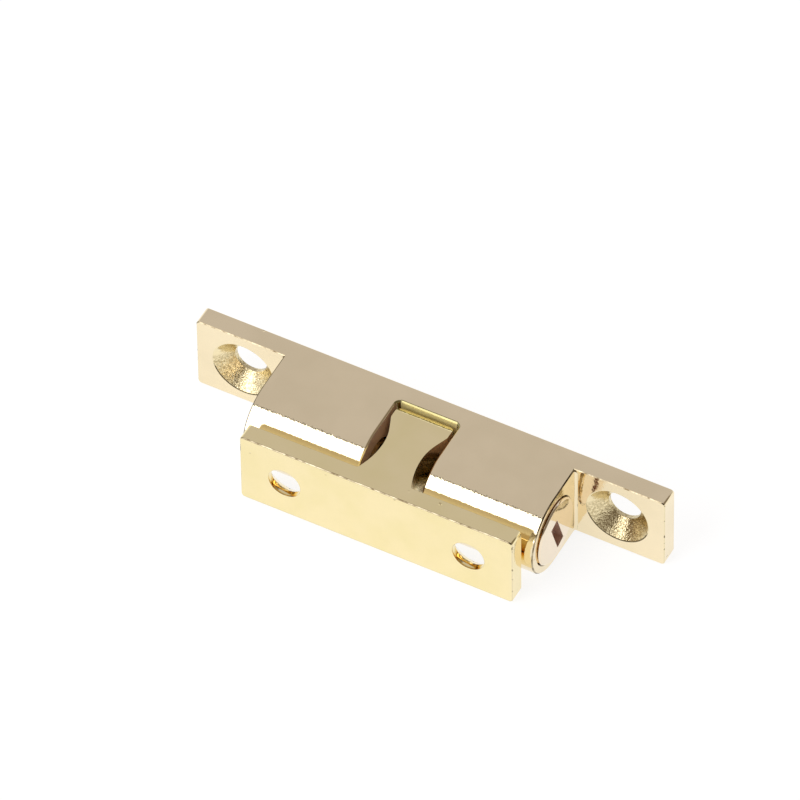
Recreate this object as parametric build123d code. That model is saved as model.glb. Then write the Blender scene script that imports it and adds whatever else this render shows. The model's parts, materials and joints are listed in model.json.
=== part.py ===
from build123d import *
import math
import os

# Adjustable double ball catch with its strike pressed home, in millimetres.
# X runs along the catch, Y from the strike back to the cabinet, Z across the width.
# The origin is the centre of the mounting face at the back of the base plate.

# Catch body: a base plate and a round-nosed housing, one piece of brass
plate_length = 50.0
plate_thickness = 2.0
plate_corner_radius = 0.4
body_width = 8.8
body_edge_break = 0.08
housing_length = 31.0
housing_end_break = 0.12
housing_root_radius = 0.35
bore_axis_height = 6.3
slot_width = 6.7
slot_corner_radius = 0.5
slot_edge_break = 0.15
body_hole_spacing = 40.0
body_hole_diameter = 3.4
body_sink_diameter = 6.5

# Balls and the bores that hold them
ball_diameter = 6.0
ball_bore_clearance = 0.1
ball_ramp_clearance = 0.12
lip_opening_diameter = 4.9
thread_depth = 5.0

# Adjusting screws
screw_diameter = 6.9
screw_thread_clearance = 0.05
screw_length = 3.0
screw_stand_out = 0.3
screw_rim_chamfer = 0.15
screw_tail_chamfer = 0.3
driver_slot_length = 3.85
driver_slot_width = 1.25
driver_slot_depth = 0.9
driver_slot_lean = {"left": 34.0, "right": 19.0}
driver_slot_shift = {"left": 0.0, "right": 0.5}
bore_mouth_chamfer = 0.1

# Springs
spring_wire_diameter = 0.5
spring_wire_sides = 6
spring_mean_diameter = 4.4
spring_turns = 4.0
spring_seat_clearance = 0.03

# Strike: a plate and a waisted tongue, one piece of brass
strike_length = 29.0
strike_width = 8.5
strike_plate_thickness = 1.8
strike_corner_radius = 0.4
strike_edge_break = 0.08
strike_stand_off = 0.3
strike_hole_spacing = 19.6
strike_hole_diameter = 3.4
strike_sink_diameter = 5.6
tongue_length = 8.6
tongue_end_run = 0.75
tongue_end_fall = 0.28
tongue_root_radius = 0.35
head_width = 6.0
head_corner_radius = 0.6
head_shoulder_radius = 0.5
neck_width = 4.12
neck_station = 3.6
neck_head_radius = 5.7
neck_root_radius = 8.5
ramp_angle = 22.0

# Shared by both countersinks
sink_angle = 90.0

# How near an edge lies to the place it is picked by
pick_tolerance = 0.01

# Places that follow from the sizes above
nose_radius = body_width / 2
housing_end = housing_length / 2
slot_wall = slot_width / 2
nose_front = -(bore_axis_height + nose_radius)
strike_back = nose_front - strike_stand_off
ball_radius = ball_diameter / 2
ball_station = -bore_axis_height - strike_back
ramp_lean = math.radians(ramp_angle)
ramp_foot_half = neck_width / 2 + neck_head_radius * (1 - math.cos(ramp_lean))
ramp_foot_station = neck_station + neck_head_radius * math.sin(ramp_lean)
ramp_reach = ball_radius + ball_ramp_clearance + (ball_station - ramp_foot_station) * math.sin(ramp_lean)
ball_offset = ramp_foot_half + ramp_reach / math.cos(ramp_lean)
screw_tail = housing_end + screw_stand_out - screw_length

sides = {"left": -1, "right": 1}


def on_bore_axis(piece, side):
    """Turn a piece made along +Z into the bore of one side, pointing away from the slot."""
    turn = 90 * sides[side]
    return Pos(0, -bore_axis_height, 0) * Rot(0, turn, 0) * piece


def turned(outline):
    """Revolve an outline of (radius, distance along the axis) points about the Z axis."""
    face = Plane.XZ * make_face(Polyline(*outline, close=True))
    return revolve(face, Axis.Z)


def plate_blank(length, thickness, width, corner_radius, back):
    """A flat plate across Y with rounded corners, its back face at the given Y."""
    outline = RectangleRounded(length, width, corner_radius)
    return extrude(Plane.XZ.offset(-back) * outline, thickness)


def screw_holes(spacing, hole_diameter, sink_diameter, thickness):
    """Two countersunk holes along Z, sunk from the face at Z = 0 down into the plate."""
    sink_depth = (sink_diameter - hole_diameter) / 2 / math.tan(math.radians(sink_angle / 2))
    hole_half = hole_diameter / 2
    sink_half = sink_diameter / 2
    hole = turned([
        (0, 0),
        (sink_half, 0),
        (hole_half, -sink_depth),
        (hole_half, -thickness),
        (0, -thickness),
    ])
    return [Pos(x, 0, 0) * hole for x in (-spacing / 2, spacing / 2)]


def bore():
    """The stepped bore of one side, from the slot wall out through the end of the housing."""
    lip_half = lip_opening_diameter / 2
    ball_half = ball_radius + ball_bore_clearance
    thread_half = screw_diameter / 2 + screw_thread_clearance
    mouth_half = thread_half + bore_mouth_chamfer
    lip_end = slot_wall + ball_half - lip_half
    thread_start = housing_end - thread_depth
    return turned([
        (0, 0),
        (lip_half, 0),
        (lip_half, slot_wall),
        (ball_half, lip_end),
        (ball_half, thread_start - thread_half + ball_half),
        (thread_half, thread_start),
        (thread_half, housing_end - bore_mouth_chamfer),
        (mouth_half, housing_end),
        (0, housing_end),
    ])


def at_housing_end(edge):
    """Whether an edge lies in one of the housing's two end faces."""
    return abs(abs(edge.center().X) - housing_end) < pick_tolerance


def catch_body():
    plate = plate_blank(plate_length, plate_thickness, body_width, plate_corner_radius, 0)
    ear_rims = plate.faces().sort_by(Axis.Y)[0].edges()
    plate = chamfer(ear_rims, body_edge_break)

    nose = Pos(-bore_axis_height, 0) * Circle(nose_radius)
    flank = Pos(-bore_axis_height / 2, 0) * Rectangle(bore_axis_height, body_width)
    housing = extrude(Plane.YZ * (nose + flank), housing_end, both=True)
    end_rims = housing.edges().filter_by(at_housing_end)
    end_rims = end_rims.filter_by_position(Axis.Y, nose_front, -pick_tolerance)
    housing = chamfer(end_rims, housing_end_break)

    body = plate + housing
    roots = body.edges().filter_by(Axis.Z).filter_by_position(Axis.Y, -plate_thickness, -plate_thickness)
    body = fillet(roots.filter_by(at_housing_end), housing_root_radius)

    slot_depth = nose_radius + bore_axis_height - plate_thickness
    slot = Box(slot_width, slot_depth, body_width, align=(Align.CENTER, Align.MAX, Align.CENTER))
    slot = fillet(slot.edges().filter_by(Axis.Z).group_by(Axis.Y)[-1], slot_corner_radius)
    body -= Pos(0, -plate_thickness, 0) * slot
    slot_rims = body.edges().filter_by_position(Axis.X, -slot_wall, slot_wall)
    slot_rims = slot_rims.filter_by_position(Axis.Y, nose_front, -plate_thickness)
    body = chamfer(slot_rims - slot_rims.filter_by(Axis.Z), slot_edge_break)
    for side in sides:
        body -= on_bore_axis(bore(), side)

    ear_front = Plane((0, -plate_thickness, 0), x_dir=(1, 0, 0), z_dir=(0, -1, 0))
    for hole in screw_holes(body_hole_spacing, body_hole_diameter, body_sink_diameter, plate_thickness):
        body -= ear_front * hole
    return body


def ball(side):
    return Pos(sides[side] * ball_offset, -bore_axis_height, 0) * Sphere(ball_radius)


def adjuster(side):
    """A grub screw with a blind driver slot in its outer face."""
    half = screw_diameter / 2
    face = screw_tail + screw_length
    blank = turned([
        (0, screw_tail),
        (half - screw_tail_chamfer, screw_tail),
        (half, screw_tail + screw_tail_chamfer),
        (half, face - screw_rim_chamfer),
        (half - screw_rim_chamfer, face),
        (0, face),
    ])
    driver_slot = Box(
        driver_slot_length,
        driver_slot_width,
        driver_slot_depth,
        align=(Align.CENTER, Align.CENTER, Align.MAX),
    )
    driver_slot = Rot(0, 0, driver_slot_lean[side]) * Pos(driver_slot_shift[side], 0, face) * driver_slot
    return on_bore_axis(blank - driver_slot, side)


def spring(side):
    """A compression spring with ground ends, from the back of the ball to the tail of the screw."""
    wire_half = spring_wire_diameter / 2
    mean_half = spring_mean_diameter / 2
    inner_half = mean_half - wire_half
    near = ball_offset + math.sqrt(ball_radius**2 - inner_half**2) + spring_seat_clearance
    far = screw_tail - spring_seat_clearance
    reach = far - near
    path = Helix(reach / spring_turns, reach, mean_half)
    section = Plane(path @ 0, z_dir=path % 0) * RegularPolygon(wire_half, spring_wire_sides)
    coil = sweep(section, path=path, is_frenet=True)
    between_seats = Cylinder(
        mean_half + spring_wire_diameter, reach, align=(Align.CENTER, Align.CENTER, Align.MIN)
    )
    return on_bore_axis(Pos(0, 0, near) * (coil & between_seats), side)


def tongue_outline():
    """The right half of the tongue, as (half width, station from the back of the strike's plate)."""
    neck_half = neck_width / 2
    head_half = head_width / 2
    neck = (neck_half, neck_station)
    ramp_foot = (ramp_foot_half, ramp_foot_station)
    root_half = neck_half + neck_root_radius - math.sqrt(neck_root_radius**2 - neck_station**2)
    shoulder_station = ramp_foot_station + (head_half - ramp_foot_half) / math.tan(ramp_lean)
    root_curve = RadiusArc((root_half, 0), neck, neck_root_radius)
    neck_curve = RadiusArc(neck, ramp_foot, neck_head_radius)
    head = Polyline(
        ramp_foot,
        (head_half, shoulder_station),
        (head_half, tongue_length),
        (0, tongue_length),
        (0, 0),
        (root_half, 0),
    )
    outline = make_face(root_curve + neck_curve + head)
    shoulder = outline.vertices().sort_by_distance((head_half, shoulder_station))[0]
    outline = fillet(shoulder, head_shoulder_radius)
    corner = outline.vertices().sort_by_distance((head_half, tongue_length))[0]
    return fillet(corner, head_corner_radius)


def strike_plate():
    plate = plate_blank(
        strike_length, strike_plate_thickness, strike_width, strike_corner_radius, strike_back
    )
    plate = chamfer(plate.faces().sort_by(Axis.Y)[0].edges(), strike_edge_break)
    back_face = Plane((0, strike_back, 0), x_dir=(1, 0, 0), z_dir=(0, 1, 0))
    for hole in screw_holes(
        strike_hole_spacing, strike_hole_diameter, strike_sink_diameter, strike_plate_thickness
    ):
        plate -= back_face * hole

    half = tongue_outline()
    outline = Pos(0, strike_back) * (half + mirror(half, about=Plane.YZ))
    tongue = extrude(outline, strike_width / 2, both=True)
    tongue_end = strike_back + tongue_length
    for side_z in (-strike_width / 2, strike_width / 2):
        wedge = Polyline(
            (tongue_end - tongue_end_run, side_z),
            (tongue_end, side_z),
            (tongue_end, side_z - math.copysign(tongue_end_fall, side_z)),
            close=True,
        )
        tongue -= extrude(Plane.YZ * make_face(wedge), head_width / 2, both=True)
    strike = plate + tongue
    roots = strike.edges().filter_by(Axis.Z).filter_by_position(Axis.Y, strike_back, strike_back)
    roots = roots.filter_by(lambda edge: abs(edge.center().X) < head_width)
    return fillet(roots, tongue_root_radius)


nodes = {"catch_body": catch_body(), "strike_plate": strike_plate()}
for side in sides:
    nodes["ball_" + side] = ball(side)
    nodes["spring_" + side] = spring(side)
    nodes["adjuster_" + side] = adjuster(side)

os.makedirs("parts", exist_ok=True)
for name, solid in nodes.items():
    solid.label = name
    export_step(solid, "parts/" + name + ".step")
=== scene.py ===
import json
import math

import bmesh
import bpy
from mathutils import Matrix, Vector

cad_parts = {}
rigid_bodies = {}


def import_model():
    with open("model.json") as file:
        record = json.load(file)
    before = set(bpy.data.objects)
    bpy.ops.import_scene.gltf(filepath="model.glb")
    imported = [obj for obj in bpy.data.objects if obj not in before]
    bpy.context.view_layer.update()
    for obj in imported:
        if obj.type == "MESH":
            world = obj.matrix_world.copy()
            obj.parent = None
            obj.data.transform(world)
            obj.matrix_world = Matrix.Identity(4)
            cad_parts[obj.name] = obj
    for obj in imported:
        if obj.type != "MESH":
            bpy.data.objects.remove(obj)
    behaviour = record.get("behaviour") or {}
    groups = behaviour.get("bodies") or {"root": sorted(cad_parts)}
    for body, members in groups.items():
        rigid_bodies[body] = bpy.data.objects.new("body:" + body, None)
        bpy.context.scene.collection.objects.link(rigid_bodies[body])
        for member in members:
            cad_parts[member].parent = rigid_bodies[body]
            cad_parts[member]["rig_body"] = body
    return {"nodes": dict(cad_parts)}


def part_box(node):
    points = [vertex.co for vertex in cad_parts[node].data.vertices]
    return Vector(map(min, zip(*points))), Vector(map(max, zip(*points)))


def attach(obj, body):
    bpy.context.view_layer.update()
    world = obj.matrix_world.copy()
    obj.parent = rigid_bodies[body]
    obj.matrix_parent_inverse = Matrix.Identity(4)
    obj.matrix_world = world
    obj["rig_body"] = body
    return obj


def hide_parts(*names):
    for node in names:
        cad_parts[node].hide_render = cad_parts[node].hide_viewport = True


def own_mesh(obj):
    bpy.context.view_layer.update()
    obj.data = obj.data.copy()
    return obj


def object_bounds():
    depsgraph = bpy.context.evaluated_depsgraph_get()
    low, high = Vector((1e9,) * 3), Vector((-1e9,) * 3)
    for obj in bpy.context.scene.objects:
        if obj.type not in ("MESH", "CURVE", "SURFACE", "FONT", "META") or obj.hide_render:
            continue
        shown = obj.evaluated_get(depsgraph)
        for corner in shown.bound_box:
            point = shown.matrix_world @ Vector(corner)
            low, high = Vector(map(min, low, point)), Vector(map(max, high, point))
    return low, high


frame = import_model()
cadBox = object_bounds()
mm = 0.001
sides = ("left", "right")
print("frame loaded:", len(frame["nodes"]), "nodes")

# Camera, at the photo's angle
cameraSetup = {
    "azimuth": 28.52,
    "elevation": 48.99,
    "roll": -0.89,
    "distance": 1.199,
    "aim": (-4.17 * mm, 0.0, 1.9 * mm),
    "lens": 569.7,
    "sensor": 36.0,
}


def directionAt(azimuth, elevation):
    # azimuth 0 is towards -Y, positive towards +X, in degrees
    turn = math.radians(azimuth)
    lift = math.radians(elevation)
    return Vector((math.sin(turn) * math.cos(lift), -math.cos(turn) * math.cos(lift), math.sin(lift)))


def placeCamera(setup):
    forward = -directionAt(setup["azimuth"], setup["elevation"])
    azimuth = math.radians(setup["azimuth"])
    roll = math.radians(setup["roll"])
    levelRight = Vector((math.cos(azimuth), math.sin(azimuth), 0))
    levelUp = levelRight.cross(forward)
    right = levelRight * math.cos(roll) + levelUp * math.sin(roll)
    up = levelUp * math.cos(roll) - levelRight * math.sin(roll)
    cameraData = bpy.data.cameras.new("photoCamera")
    cameraData.lens = setup["lens"]
    cameraData.sensor_width = setup["sensor"]
    camera = bpy.data.objects.new("photoCamera", cameraData)
    bpy.context.scene.collection.objects.link(camera)
    turn = Matrix((right, up, -forward)).transposed().to_4x4()
    place = Vector(setup["aim"]) - forward * setup["distance"]
    camera.matrix_world = Matrix.Translation(place) @ turn
    bpy.context.scene.camera = camera


placeCamera(cameraSetup)
print("camera placed")

# Studio: a white floor, a pale tent with two dim openings, and a soft panel at the front left
studio = {
    "floorSize": 6.0,
    "floorGap": 0.01 * mm,
    "floorTone": 0.9,
    "floorSeenTone": 0.25,
    "floorGlow": 0.86,
    "tentOverhead": (0.607, 0.578, 0.588, 1),
    "tentHorizon": (1.0, 1.0, 1.0, 1),
    "tentHeights": (0.12, 0.5),
    "openingTone": (0.24, 0.20, 0.155, 1),
    "openings": (
        {"azimuth": 76.0, "elevation": 18.0, "edge": (0.50, 0.616)},
        {"azimuth": 28.5, "elevation": 46.0, "edge": (0.87, 0.93)},
    ),
    "openingFloor": (0.03, 0.12),
    "panelAzimuth": -30.0,
    "panelElevation": 34.0,
    "panelDistance": 1.6,
    "panelSize": (0.92, 1.774),
    "panelRadiance": 2.3,
    "flagHeight": 0.08,
    "flagColour": (0.02, 0.018, 0.015, 1),
    "bounces": 16,
    "glossyBounces": 12,
}
maskOff = (0, 0, 0, 1)
maskOn = (1, 1, 1, 1)


def mathNode(nodes, links, operation, first, second):
    node = nodes.new("ShaderNodeMath")
    node.operation = operation
    for socket, value in zip(node.inputs, (first, second)):
        if isinstance(value, bpy.types.NodeSocket):
            links.new(value, socket)
        else:
            socket.default_value = value
    return node.outputs[0]


def rampNode(nodes, links, fac, stops):
    node = nodes.new("ShaderNodeValToRGB")
    links.new(fac, node.inputs["Fac"])
    elements = node.color_ramp.elements
    while len(elements) < len(stops):
        elements.new(0.5)
    for element, (place, colour) in zip(elements, stops):
        element.position = place
        element.color = colour
    return node.outputs["Color"]


def makeFloor():
    half = studio["floorSize"] / 2
    low = cadBox[0].z - studio["floorGap"]
    corners = [(-half, -half, low), (half, -half, low), (half, half, low), (-half, half, low)]
    mesh = bpy.data.meshes.new("floor")
    mesh.from_pydata(corners, [], [(0, 1, 2, 3)])
    floor = bpy.data.objects.new("floor", mesh)
    bpy.context.scene.collection.objects.link(floor)
    material = bpy.data.materials.new("whiteFloor")
    material.use_nodes = True
    nodes = material.node_tree.nodes
    links = material.node_tree.links
    nodes.clear()
    # White to the camera and in the brass, with its shadows kept; plain matt to all other light
    path = nodes.new("ShaderNodeLightPath").outputs
    seen = mathNode(nodes, links, "MAXIMUM", path["Is Camera Ray"], path["Is Glossy Ray"])
    seen = mathNode(nodes, links, "MAXIMUM", seen, path["Is Transmission Ray"])
    change = mathNode(nodes, links, "MULTIPLY", seen, studio["floorSeenTone"] - studio["floorTone"])
    matt = nodes.new("ShaderNodeBsdfDiffuse")
    links.new(mathNode(nodes, links, "ADD", change, studio["floorTone"]), matt.inputs["Color"])
    level = studio["floorGlow"]
    glow = nodes.new("ShaderNodeEmission")
    glow.inputs["Color"].default_value = (level, level, level, 1)
    links.new(seen, glow.inputs["Strength"])
    both = nodes.new("ShaderNodeAddShader")
    links.new(matt.outputs[0], both.inputs[0])
    links.new(glow.outputs[0], both.inputs[1])
    output = nodes.new("ShaderNodeOutputMaterial")
    links.new(both.outputs[0], output.inputs["Surface"])
    mesh.materials.append(material)


def makeTent():
    world = bpy.data.worlds.new("tent")
    bpy.context.scene.world = world
    world.use_nodes = True
    nodes = world.node_tree.nodes
    links = world.node_tree.links
    nodes.clear()
    place = nodes.new("ShaderNodeTexCoord")
    height = nodes.new("ShaderNodeSeparateXYZ")
    links.new(place.outputs["Generated"], height.inputs[0])
    low, high = studio["tentHeights"]
    clothStops = [(low, studio["tentHorizon"]), (high, studio["tentOverhead"])]
    cloth = rampNode(nodes, links, height.outputs["Z"], clothStops)
    inside = 0.0
    for opening in studio["openings"]:
        nearness = nodes.new("ShaderNodeVectorMath")
        nearness.operation = "DOT_PRODUCT"
        links.new(place.outputs["Generated"], nearness.inputs[0])
        nearness.inputs[1].default_value = directionAt(opening["azimuth"], opening["elevation"])
        far, near = opening["edge"]
        oneOpening = rampNode(nodes, links, nearness.outputs["Value"], [(far, maskOff), (near, maskOn)])
        inside = mathNode(nodes, links, "MAXIMUM", oneOpening, inside)
    floorFrom, floorTo = studio["openingFloor"]
    above = rampNode(nodes, links, height.outputs["Z"], [(floorFrom, maskOff), (floorTo, maskOn)])
    unclothed = mathNode(nodes, links, "MULTIPLY", inside, above)
    mixed = nodes.new("ShaderNodeMix")
    mixed.data_type = "RGBA"
    links.new(unclothed, mixed.inputs["Factor"])
    links.new(cloth, mixed.inputs["A"])
    mixed.inputs["B"].default_value = studio["openingTone"]
    tent = nodes.new("ShaderNodeBackground")
    links.new(mixed.outputs["Result"], tent.inputs["Color"])
    output = nodes.new("ShaderNodeOutputWorld")
    links.new(tent.outputs[0], output.inputs["Surface"])


def makePanel():
    direction = directionAt(studio["panelAzimuth"], studio["panelElevation"])
    width, height = studio["panelSize"]
    lamp = bpy.data.lights.new("frontPanel", "AREA")
    lamp.shape = "RECTANGLE"
    lamp.size = width
    lamp.size_y = height
    lamp.energy = studio["panelRadiance"] * math.pi * width * height
    panel = bpy.data.objects.new("frontPanel", lamp)
    bpy.context.scene.collection.objects.link(panel)
    turn = (-direction).to_track_quat("-Z", "Y").to_matrix().to_4x4()
    panel.matrix_world = Matrix.Translation(direction * studio["panelDistance"]) @ turn
    panel.visible_camera = False
    # The panel's dark top edge
    low = height / 2
    high = low + studio["flagHeight"]
    mesh = bpy.data.meshes.new("panelEdge")
    corners = [(-width / 2, low, 0), (width / 2, low, 0), (width / 2, high, 0), (-width / 2, high, 0)]
    mesh.from_pydata(corners, [], [(0, 1, 2, 3)])
    flag = bpy.data.objects.new("panelEdge", mesh)
    bpy.context.scene.collection.objects.link(flag)
    flag.matrix_world = panel.matrix_world
    flag.visible_camera = False
    cloth = bpy.data.materials.new("flagCloth")
    cloth.use_nodes = True
    surface = cloth.node_tree.nodes["Principled BSDF"]
    surface.inputs["Base Color"].default_value = studio["flagColour"]
    mesh.materials.append(cloth)


bpy.context.scene.view_settings.view_transform = "Standard"
bpy.context.scene.cycles.max_bounces = studio["bounces"]
bpy.context.scene.cycles.glossy_bounces = studio["glossyBounces"]
makeFloor()
makeTent()
makePanel()
print("studio built")

# Finishes, as tones, roughness and the depth of each kind of relief, in the object's own space.
# The two matt ones are painted shade and painted reflection: they stand for brass that faces only
# brass, inside a slot.
finishes = {
    "bodyBrass": {
        "tones": ((0.88, 0.755, 0.515, 1), (0.92, 0.79, 0.545, 1)),
        "roughness": (0.05, 0.09),
        "peel": 0.008 * mm,
        "pits": 0.05 * mm,
    },
    "strikeBrass": {
        "tones": ((0.91, 0.785, 0.44, 1), (0.94, 0.81, 0.48, 1)),
        "roughness": (0.05, 0.09),
        "peel": 0.006 * mm,
        "pits": 0.05 * mm,
    },
    "sunkBrass": {
        "tones": ((0.50, 0.41, 0.23, 1), (0.88, 0.76, 0.48, 1)),
        "toneScale": 4500,
        "roughness": (0.08, 0.18),
        "peel": 0.05 * mm,
        "peelScale": 6500,
        # Darker low down: painted shade
        "shadeAndRoughBelow": (-0.9 * mm, 1.1 * mm),
        "pits": 0.03 * mm,
    },
    "tongueBrass": {
        "tones": ((0.88, 0.755, 0.42, 1), (0.92, 0.79, 0.46, 1)),
        "roughness": (0.14, 0.22),
        "peel": 0.006 * mm,
        "pits": 0.02 * mm,
    },
    # Dark and mottled: painted shade that dims the highlight on level edge strips
    "shadedEdgeBrass": {
        "tones": ((0.15, 0.11, 0.06, 1), (0.50, 0.43, 0.29, 1)),
        "toneScale": 1600,
        "roughness": (0.10, 0.20),
        "peel": 0.01 * mm,
        "pits": 0.01 * mm,
    },
    # Dark olive: painted shade that dims the highlight on the rim at the back of the slot
    "shadedRimBrass": {
        "tones": ((0.36, 0.32, 0.15, 1), (0.44, 0.39, 0.19, 1)),
        "roughness": (0.10, 0.20),
        "peel": 0.01 * mm,
        "pits": 0.01 * mm,
    },
    "pittedBrass": {
        "tones": ((0.16, 0.12, 0.06, 1), (0.84, 0.73, 0.47, 1)),
        "toneSpan": (0.34, 0.44),
        "toneScale": 1600,
        "roughness": (0.10, 0.20),
        "peel": 0.01 * mm,
        "pits": 0.01 * mm,
    },
    # Matt yellow: painted reflection and shade on the back wall of the slot
    "slotBackReflectionBrass": {
        "tones": ((0.80, 0.70, 0.32, 1), (0.90, 0.79, 0.38, 1)),
        "metallic": 0.0,
        "roughness": (0.30, 0.40),
        "peel": 0.01 * mm,
        "pits": 0.01 * mm,
    },
    # Very dark: a painted shade line along the lower rim of each sink and round the left end of the
    # housing
    "shadeLineBrass": {
        "tones": ((0.09, 0.07, 0.035, 1), (0.20, 0.155, 0.08, 1)),
        "toneScale": 1200,
        "roughness": (0.20, 0.30),
        "peel": 0.01 * mm,
        "pits": 0.01 * mm,
    },
    "screwBrass": {
        "tones": ((0.88, 0.76, 0.58, 1), (0.92, 0.79, 0.62, 1)),
        "roughness": (0.04, 0.08),
        "peel": 0.003 * mm,
        "pits": 0.01 * mm,
    },
    # Matt pinkish brown: painted shade and painted reflection for brass deep in a slot
    "slotShadeBrass": {
        "tones": ((0.56, 0.37, 0.29, 1), (0.64, 0.43, 0.34, 1)),
        "metallic": 0.0,
        "roughness": (0.40, 0.50),
        "peel": 0.01 * mm,
        "pits": 0.01 * mm,
    },
    "ballSteel": {
        "tones": ((0.55, 0.53, 0.50, 1), (0.60, 0.58, 0.55, 1)),
        "roughness": (0.03, 0.06),
        "peel": 0.001 * mm,
        "pits": 0.004 * mm,
    },
    "springSteel": {
        "tones": ((0.50, 0.48, 0.45, 1), (0.58, 0.56, 0.53, 1)),
        "roughness": (0.18, 0.28),
        "peel": 0.002 * mm,
        "pits": 0.004 * mm,
    },
}

# What a finish has where it says nothing else
plainFinish = {
    "metallic": 1.0,
    "toneScale": 250,
    "toneDetail": 2,
    "toneSpan": (0.35, 0.65),
    "smearScale": 900,
    "smearDetail": 3,
    "peelScale": 3600,
    "peelDetail": 2,
    "waveScale": 300,
    "waveDetail": 1,
    "waveDepth": 0.012 * mm,
    "pitScale": 700,
    "pitSize": (0.06, 0.13),
    "pitShare": (0.78, 0.84),
    "pitTone": (0.45, 0.33, 0.16, 1),
    "pitStain": 0.5,
}


def noiseNode(nodes, links, place, scale, detail):
    node = nodes.new("ShaderNodeTexNoise")
    node.inputs["Scale"].default_value = scale
    node.inputs["Detail"].default_value = detail
    links.new(place, node.inputs["Vector"])
    return node.outputs["Fac"]


def bumpNode(nodes, links, height, distance, normal=None):
    node = nodes.new("ShaderNodeBump")
    node.inputs["Distance"].default_value = distance
    links.new(height, node.inputs["Height"])
    if normal is not None:
        links.new(normal, node.inputs["Normal"])
    return node.outputs["Normal"]


def mapNode(nodes, links, value, source, target):
    node = nodes.new("ShaderNodeMapRange")
    links.new(value, node.inputs["Value"])
    node.inputs["From Min"].default_value, node.inputs["From Max"].default_value = source
    node.inputs["To Min"].default_value, node.inputs["To Max"].default_value = target
    return node.outputs[0]


def pitMask(nodes, links, place, finish):
    # Sparse casting pits: the middles of a few cells
    cells = nodes.new("ShaderNodeTexVoronoi")
    cells.inputs["Scale"].default_value = finish["pitScale"]
    links.new(place, cells.inputs["Vector"])
    inner, outer = finish["pitSize"]
    middle = rampNode(nodes, links, cells.outputs["Distance"], [(inner, maskOn), (outer, maskOff)])
    few, fewer = finish["pitShare"]
    chosen = rampNode(nodes, links, cells.outputs["Color"], [(few, maskOff), (fewer, maskOn)])
    return mathNode(nodes, links, "MULTIPLY", middle, chosen)


def metal(name):
    finish = {**plainFinish, **finishes[name]}
    material = bpy.data.materials.new(name)
    material.use_nodes = True
    nodes = material.node_tree.nodes
    links = material.node_tree.links
    surface = nodes["Principled BSDF"]
    surface.inputs["Metallic"].default_value = finish["metallic"]
    place = nodes.new("ShaderNodeTexCoord").outputs["Object"]

    cloud = noiseNode(nodes, links, place, finish["toneScale"], finish["toneDetail"])
    peel = noiseNode(nodes, links, place, finish["peelScale"], finish["peelDetail"])
    if "shadeAndRoughBelow" in finish:
        # Darker and rougher low down, plain and smooth higher up: the darker tone low down is painted
        # shade, the roughness is real relief
        apart = nodes.new("ShaderNodeSeparateXYZ")
        links.new(place, apart.inputs[0])
        smooth = mapNode(nodes, links, apart.outputs["Z"], finish["shadeAndRoughBelow"], (0, 1))
        cloud = mathNode(nodes, links, "MAXIMUM", cloud, smooth)
        rough = mathNode(nodes, links, "SUBTRACT", 1.0, smooth)
        peel = mathNode(nodes, links, "MULTIPLY", peel, rough)
    tone = rampNode(nodes, links, cloud, list(zip(finish["toneSpan"], finish["tones"])))
    smear = noiseNode(nodes, links, place, finish["smearScale"], finish["smearDetail"])
    links.new(mapNode(nodes, links, smear, (0, 1), finish["roughness"]), surface.inputs["Roughness"])

    pit = pitMask(nodes, links, place, finish)
    shaded = nodes.new("ShaderNodeMix")
    shaded.data_type = "RGBA"
    links.new(mathNode(nodes, links, "MULTIPLY", pit, finish["pitStain"]), shaded.inputs["Factor"])
    links.new(tone, shaded.inputs["A"])
    shaded.inputs["B"].default_value = finish["pitTone"]
    links.new(shaded.outputs["Result"], surface.inputs["Base Color"])

    wave = noiseNode(nodes, links, place, finish["waveScale"], finish["waveDetail"])
    normal = bumpNode(nodes, links, wave, finish["waveDepth"])
    normal = bumpNode(nodes, links, peel, finish["peel"], normal)
    depth = mathNode(nodes, links, "SUBTRACT", 1.0, pit)
    normal = bumpNode(nodes, links, depth, finish["pits"], normal)
    links.new(normal, surface.inputs["Normal"])
    return material


metals = {name: metal(name) for name in finishes}
print("finishes made:", ", ".join(metals))

# How the CAD meshes are worked over
meshWork = {
    "weldWithin": 0.0005 * mm,
    "flatWithin": math.radians(0.5),
    "sharpFrom": math.radians(25),
    "roundProfile": 0.5,
    "stripWidest": 0.14 * mm,
    "stripTilt": (0.15, 0.98),
}


def weldedCopy(nodeName):
    work = bmesh.new()
    work.from_mesh(frame["nodes"][nodeName].data)
    bmesh.ops.remove_doubles(work, verts=work.verts, dist=meshWork["weldWithin"])
    return work


def cleanCopy(nodeName):
    # A CAD node's mesh with its triangles merged back into whole faces
    work = weldedCopy(nodeName)
    flat = meshWork["flatWithin"]
    bmesh.ops.dissolve_limit(work, angle_limit=flat, verts=work.verts, edges=work.edges)
    return work


def roundEdges(work, width, segments=2, chosen=None):
    sharp = []
    for edge in work.edges:
        if len(edge.link_faces) == 2 and edge.calc_face_angle() > meshWork["sharpFrom"]:
            if chosen is None or chosen(edge):
                sharp.append(edge)
    bmesh.ops.bevel(
        work,
        geom=sharp,
        offset=width,
        segments=segments,
        profile=meshWork["roundProfile"],
        affect="EDGES",
        clamp_overlap=True,
    )


def isStrip(face):
    # A narrow face on an edge that runs round the front or the back
    longest = max(edge.calc_length() for edge in face.edges)
    low, high = meshWork["stripTilt"]
    return face.calc_area() < meshWork["stripWidest"] * longest and low < abs(face.normal.y) < high


def edgeFinish(normal):
    # Edges that lie level catch the panel, and get a dark mottled tone: painted shade that dims and
    # breaks their highlight; upright ones are paler and pitted
    return "shadedEdgeBrass" if abs(normal.z) > abs(normal.x) else "pittedBrass"


def finishFaces(work, chooseFinish):
    # Gives each face its finish, and returns the names in the order of their slots
    used = []
    for face in work.faces:
        name = chooseFinish(face)
        if name not in used:
            used.append(name)
        face.material_index = used.index(name)
    return used


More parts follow.
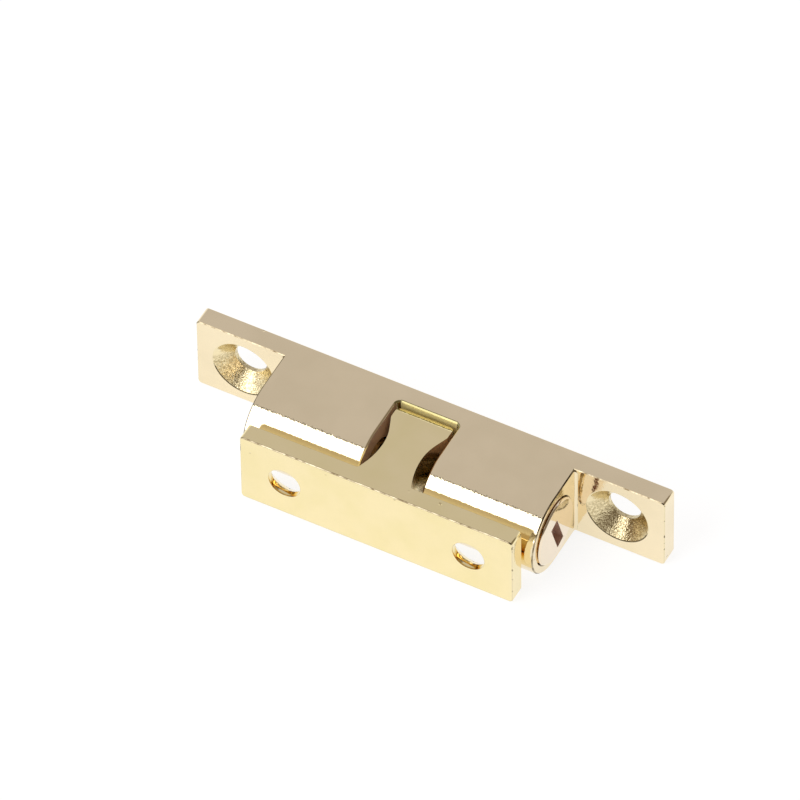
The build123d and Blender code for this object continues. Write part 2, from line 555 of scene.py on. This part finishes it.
def addPiece(work, pieceName, nodeName, materials):
    for face in work.faces:
        face.smooth = True
    mesh = bpy.data.meshes.new(pieceName)
    work.to_mesh(mesh)
    work.free()
    for name in materials:
        mesh.materials.append(metals[name])
    piece = bpy.data.objects.new(pieceName, mesh)
    bpy.context.scene.collection.objects.link(piece)
    weighted = piece.modifiers.new("weighted", "WEIGHTED_NORMAL")
    weighted.keep_sharp = True
    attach(piece, frame["nodes"][nodeName]["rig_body"])
    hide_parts(nodeName)
    return piece


# Catch body
body = {
    "edgeWidth": 0.02 * mm,
    "backEdgeWidth": 0.08 * mm,
    "backEdgeSegments": 4,
    "planeNear": 0.01 * mm,
    "slotRimWidth": 0.06 * mm,
    "slotRimBox": (3.6 * mm, -3.0 * mm, -1.7 * mm),
    "slotRimTilt": (0.2, 0.95),
    "slotBackFacing": 0.95,
    "holeX": 20.0 * mm,
    "sinkRadius": 3.3 * mm,
    "sinkTilt": 0.9,
    "sinkRimWidth": 0.07 * mm,
    "sinkRimNear": (3.1 * mm, 3.4 * mm),
    "sinkRimTilt": (0.75, 0.99),
    "sinkShadeLineBelow": -0.9 * mm,
    "rimSegments": 3,
    "earFront": -2.0 * mm,
    "stripFront": -1.6 * mm,
    "slotWall": 3.4 * mm,
    "slotWallFacing": 0.9,
    "endBreakFrom": 15.3 * mm,
    "endBreakFront": -2.5 * mm,
    "endBreakTilt": (0.2, 0.95),
}


def within(value, span):
    return span[0] < value < span[1]


def fromHole(place):
    return math.hypot(abs(place.x) - body["holeX"], place.z)


def onBackOutline(edge):
    # An edge around the mounting face, apart from the screw holes' own
    flat = all(abs(v.co.y) < body["planeNear"] for v in edge.verts)
    return flat and min(fromHole(v.co) for v in edge.verts) > body["sinkRadius"]


def onSlotRim(edge):
    # The broken edge at the back of the slot, above and below
    halfWidth, front, back = body["slotRimBox"]
    return all(abs(v.co.x) < halfWidth and front < v.co.y < back for v in edge.verts)


def onSinkRim(edge):
    inFront = all(abs(v.co.y - body["earFront"]) < body["planeNear"] for v in edge.verts)
    return inFront and all(within(fromHole(v.co), body["sinkRimNear"]) for v in edge.verts)


def bodyFinish(face):
    middle = face.calc_center_median()
    normal = face.normal
    away = fromHole(middle)
    tiltedRim = within(abs(normal.y), body["sinkRimTilt"])
    # The sink's rim faces low down get a painted shade line
    if within(away, body["sinkRimNear"]) and tiltedRim and middle.y < body["stripFront"]:
        return "shadeLineBrass" if middle.z < body["sinkShadeLineBelow"] else "sunkBrass"
    if away < body["sinkRadius"] and middle.y > body["earFront"] and abs(normal.y) < body["sinkTilt"]:
        return "sunkBrass"
    halfWidth, front, back = body["slotRimBox"]
    atSlotBack = abs(middle.x) < halfWidth and front < middle.y < back
    # The rim at the back of the slot gets painted shade
    if atSlotBack and within(abs(normal.z), body["slotRimTilt"]):
        return "shadedRimBrass"
    # The slot's walls and back wall get the matt finishes: painted shade and painted reflection
    inSlot = abs(middle.x) < body["slotWall"] and middle.y < body["earFront"]
    if inSlot and abs(normal.x) > body["slotWallFacing"]:
        return "slotShadeBrass"
    if atSlotBack and abs(normal.y) > body["slotBackFacing"]:
        return "slotBackReflectionBrass"
    atEnd = abs(middle.x) > body["endBreakFrom"] and middle.y < body["endBreakFront"]
    # The housing's end break gets painted shade: a dark shade line on the left end, a darkened edge
    # tone on the right
    if atEnd and within(abs(normal.x), body["endBreakTilt"]):
        return "shadedEdgeBrass" if middle.x > 0 else "shadeLineBrass"
    if body["earFront"] - body["planeNear"] < middle.y < body["stripFront"] and isStrip(face):
        return edgeFinish(normal)
    return "bodyBrass"


def makeBody():
    work = cleanCopy("catch_body")
    roundEdges(work, body["backEdgeWidth"], body["backEdgeSegments"], onBackOutline)
    roundEdges(work, body["slotRimWidth"], body["rimSegments"], onSlotRim)
    roundEdges(work, body["sinkRimWidth"], body["rimSegments"], onSinkRim)
    roundEdges(work, body["edgeWidth"])
    addPiece(work, "body", "catch_body", finishFaces(work, bodyFinish))


makeBody()
print("body made")

# Strike
strike = {
    "edgeWidth": 0.025 * mm,
    "tongueReach": (-10.9 * mm, -2.6 * mm),
    "tongueSideTilt": 0.2,
}


def strikeFinish(face):
    away = face.calc_center_median().y
    if within(away, strike["tongueReach"]) and abs(face.normal.z) < strike["tongueSideTilt"]:
        return "tongueBrass"
    if away < strike["tongueReach"][0] and isStrip(face):
        return edgeFinish(face.normal)
    return "strikeBrass"


def makeStrike():
    work = cleanCopy("strike_plate")
    roundEdges(work, strike["edgeWidth"])
    addPiece(work, "strike", "strike_plate", finishFaces(work, strikeFinish))


makeStrike()
print("strike made")

# Balls
ball = {
    "cuts": 1,
}


def makeBall(side):
    node = "ball_" + side
    low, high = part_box(node)
    centre = (low + high) / 2
    radius = (high.z - low.z) / 2
    work = weldedCopy(node)
    bmesh.ops.subdivide_edges(work, edges=work.edges, cuts=ball["cuts"], use_grid_fill=True)
    for vert in work.verts:
        vert.co = centre + (vert.co - centre).normalized() * radius
    addPiece(work, node.replace("_", "-"), node, ["ballSteel"])


for side in sides:
    makeBall(side)
print("balls made")

# Springs: round wire, ground flat at both ends
spring = {
    "wireDiameter": 0.5 * mm,
    "turns": 4.0,
    "stepsPerTurn": 48,
    "wireSides": 14,
    "feedRoom": 1.12 * mm,
    "keepPressed": 0.594,
}


def makeSpring(side):
    node = "spring_" + side
    low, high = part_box(node)
    # The coil stops short of the ball by what the screw can feed it inwards
    if side == "right":
        low.x += spring["feedRoom"]
    else:
        high.x -= spring["feedRoom"]
    reach = high.x - low.x
    axisY = (low.y + high.y) / 2
    coilRadius = (high.z - low.z) / 2 - spring["wireDiameter"] / 2
    wire = spring["wireDiameter"] / 2
    steps = int(spring["turns"] * spring["stepsPerTurn"])
    pitch = reach / spring["turns"]
    lean = math.atan2(pitch, 2 * math.pi * coilRadius)
    work = bmesh.new()
    rings = []
    for step in range(steps + 1):
        turn = 2 * math.pi * step / spring["stepsPerTurn"]
        outward = Vector((0, math.cos(turn), math.sin(turn)))
        around = Vector((0, -math.sin(turn), math.cos(turn)))
        across = Vector((math.cos(lean), 0, 0)) - around * math.sin(lean)
        middle = Vector((low.x + reach * step / steps, axisY, 0)) + outward * coilRadius
        ring = []
        for corner in range(spring["wireSides"]):
            angle = 2 * math.pi * corner / spring["wireSides"]
            place = middle + outward * wire * math.cos(angle) + across * wire * math.sin(angle)
            place.x = min(max(place.x, low.x), high.x)
            ring.append(work.verts.new(place))
        rings.append(ring)
    for near, far in zip(rings, rings[1:]):
        for corner in range(spring["wireSides"]):
            after = (corner + 1) % spring["wireSides"]
            work.faces.new((near[corner], near[after], far[after], far[corner]))
    work.faces.new(rings[0])
    work.faces.new(rings[-1][::-1])
    bmesh.ops.recalc_face_normals(work, faces=work.faces)
    piece = addPiece(work, "coil_" + side, node, ["springSteel"])
    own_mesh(piece)


for side in sides:
    makeSpring(side)
print("springs made")

# Adjusting screws
screw = {
    "edgeWidth": 0.03 * mm,
    "slotReach": (2.6 * mm, 0.95 * mm),
    "faceDepth": 0.04 * mm,
    "threadPitch": 0.75 * mm,
    "threadDepth": 0.22 * mm,
    "threadSteepness": 1.25,
    "threadCuts": 27,
    "sideLength": 1.5 * mm,
    "sideRadius": 3.3 * mm,
}


def cutThread(work, axisY):
    # Rings round the side, pressed in along a right-handed helix
    def away(place):
        return math.hypot(place.y - axisY, place.z)

    runs = []
    for edge in work.edges:
        start, end = (v.co for v in edge.verts)
        onSide = min(away(start), away(end)) > screw["sideRadius"]
        if onSide and abs(end.x - start.x) > screw["sideLength"]:
            runs.append(edge)
    cuts = screw["threadCuts"]
    cut = bmesh.ops.subdivide_edges(work, edges=runs, cuts=cuts, use_grid_fill=True)
    for vert in cut["geom_inner"]:
        if not isinstance(vert, bmesh.types.BMVert) or away(vert.co) < screw["sideRadius"]:
            continue
        turn = math.atan2(vert.co.z, vert.co.y - axisY) / (2 * math.pi)
        phase = (vert.co.x / screw["threadPitch"] - turn) % 1
        flank = screw["threadSteepness"] * abs(2 * phase - 1)
        pressed = min(1, flank) * screw["threadDepth"]
        scale = 1 - pressed / away(vert.co)
        vert.co.y = axisY + (vert.co.y - axisY) * scale
        vert.co.z *= scale


def makeScrew(side):
    node = "adjuster_" + side
    low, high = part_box(node)
    outerFace = high.x if side == "right" else -low.x
    across, depth = screw["slotReach"]
    work = cleanCopy(node)
    roundEdges(work, screw["edgeWidth"])
    axisY = (low.y + high.y) / 2
    cutThread(work, axisY)

    def screwFinish(face):
        middle = face.calc_center_median()
        central = math.hypot(middle.y - axisY, middle.z) < across
        inSlot = central and screw["faceDepth"] < outerFace - abs(middle.x) < depth
        # The driver slot gets the matt pinkish brown: painted shade
        return "slotShadeBrass" if inSlot else "screwBrass"

    addPiece(work, "screw_" + side, node, finishFaces(work, screwFinish))


for side in sides:
    makeScrew(side)
print("screws made")
